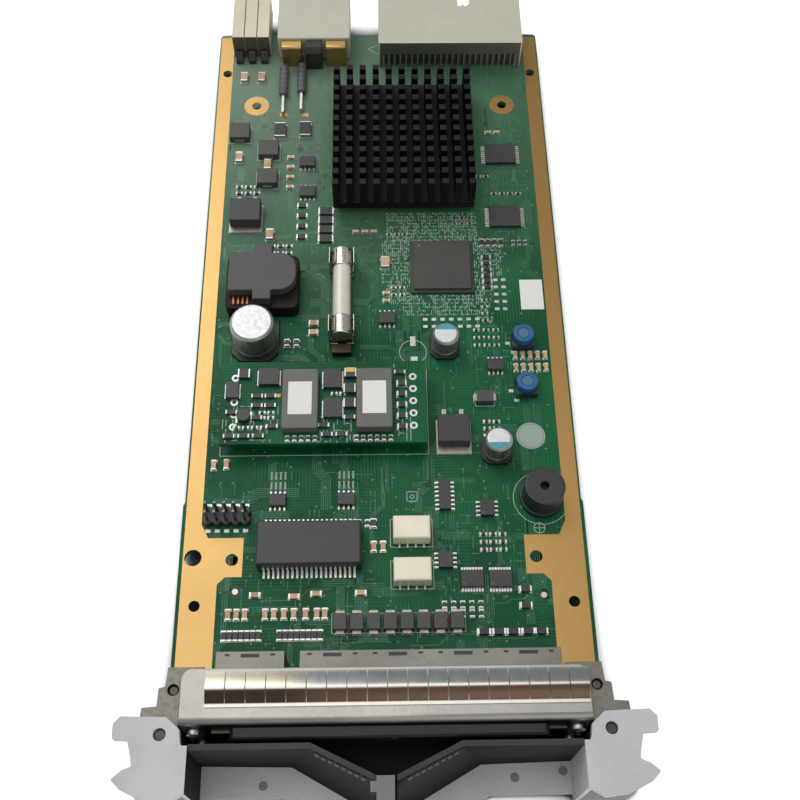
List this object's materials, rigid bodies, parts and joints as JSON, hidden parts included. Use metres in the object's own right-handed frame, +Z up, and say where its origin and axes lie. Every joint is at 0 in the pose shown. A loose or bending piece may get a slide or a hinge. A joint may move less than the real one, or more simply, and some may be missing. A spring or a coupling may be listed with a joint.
{
  "type": "interface card",
  "caption": "Long plug-in interface card with a finned heat sink, rear connectors, a gasketed front panel, shielded jacks and two ejector levers.",
  "frame": {"origin": "middle of the footprint, on the surface that the card lies on", "axes": "+X across the card to the right, +Y towards the rear connectors, +Z up from the component side"},
  "size_m": [0.127, 0.2724, 0.0265],
  "materials": {
    "board": "solder mask over woven laminate",
    "gold": "gold plating",
    "panel_metal": "satin sheet",
    "cast_metal": "fine grey paint",
    "tinned": "tinned metal",
    "black_plastic": "moulded",
    "glossy_black": "smooth moulded",
    "beige_plastic": "moulded",
    "ceramic": "glazed ceramic",
    "ferrite": "ground ferrite",
    "copper": "enamelled wire",
    "can_metal": "drawn can",
    "tan_ceramic": "fired ceramic",
    "blue_plastic": "moulded",
    "paper": "paper",
    "black_aluminium": "black anodised",
    "grey_ceramic": "coated"
  },
  "bodies": {
    "root": {"axial_resistors": "grey_ceramic", "axial_wires": "tinned", "button_bases": "black_plastic", "buzzer": "black_plastic", "capacitor_bases": "black_plastic", "chip_capacitors": "tan_ceramic", "chip_resistors": "black_plastic", "chip_terminals": "tinned", "connector_tails": "black_plastic", "diodes": "grey_ceramic", "emi_gasket": "tinned", "front_panel": "panel_metal", "fuse_caps": "tinned", "fuse_clips": "tinned", "fuse_tube": "ceramic", "ground_strips": "gold", "header_block": "black_plastic", "header_pins": "gold", "heat_sink": "black_aluminium", "inductor_body": "black_plastic", "inductor_core": "ferrite", "inductor_winding": "copper", "jack_contacts": "gold", "label_bar": "glossy_black", "large_capacitor": "can_metal", "left_bracket": "cast_metal", "left_pivot_pin": "tinned", "line_transformer": "black_plastic", "main_board": "board", "main_chip": "black_plastic", "memory_chips": "black_plastic", "metal_tabs": "tinned", "module_board": "board", "module_bricks": "ferrite", "module_chips": "black_plastic", "module_pins": "tinned", "polymer_capacitors": "can_metal", "power_connector": "beige_plastic", "power_contacts": "gold", "power_transistors": "black_plastic", "processor": "black_plastic", "quad_jack_insert": "black_plastic", "quad_jack_shell": "tinned", "relays": "beige_plastic", "right_bracket": "cast_metal", "right_pivot_pin": "tinned", "screws": "tinned", "signal_connector": "beige_plastic", "signal_contacts": "gold", "single_jack_insert": "black_plastic", "single_jack_shell": "tinned", "small_chip_leads": "tinned", "small_chips": "black_plastic", "stickers": "paper", "transformer_and_relay_leads": "tinned", "wafer_connector": "beige_plastic"},
    "left_lever": {"left_lever": "cast_metal"},
    "right_lever": {"right_lever": "cast_metal"},
    "rear_button": {"rear_button_cap": "blue_plastic"},
    "front_button": {"front_button_cap": "blue_plastic"}
  },
  "joints": [
    {"name": "left_lever_pivot", "type": "hinge", "parent": "root", "child": "left_lever", "pos_m": [-0.0525, -0.11235, 0.0125], "axis": [0, 0, -1], "range_deg": [0, 55]},
    {"name": "right_lever_pivot", "type": "hinge", "parent": "root", "child": "right_lever", "pos_m": [0.0525, -0.11235, 0.0125], "axis": [0, 0, 1], "range_deg": [0, 55]},
    {"name": "rear_button_press", "type": "slide", "parent": "root", "child": "rear_button", "axis": [0, 0, -1], "range_m": [0, 0.00035], "stiffness_N_per_m": 1500},
    {"name": "front_button_press", "type": "slide", "parent": "root", "child": "front_button", "axis": [0, 0, -1], "range_m": [0, 0.00035], "stiffness_N_per_m": 1500}
  ]
}
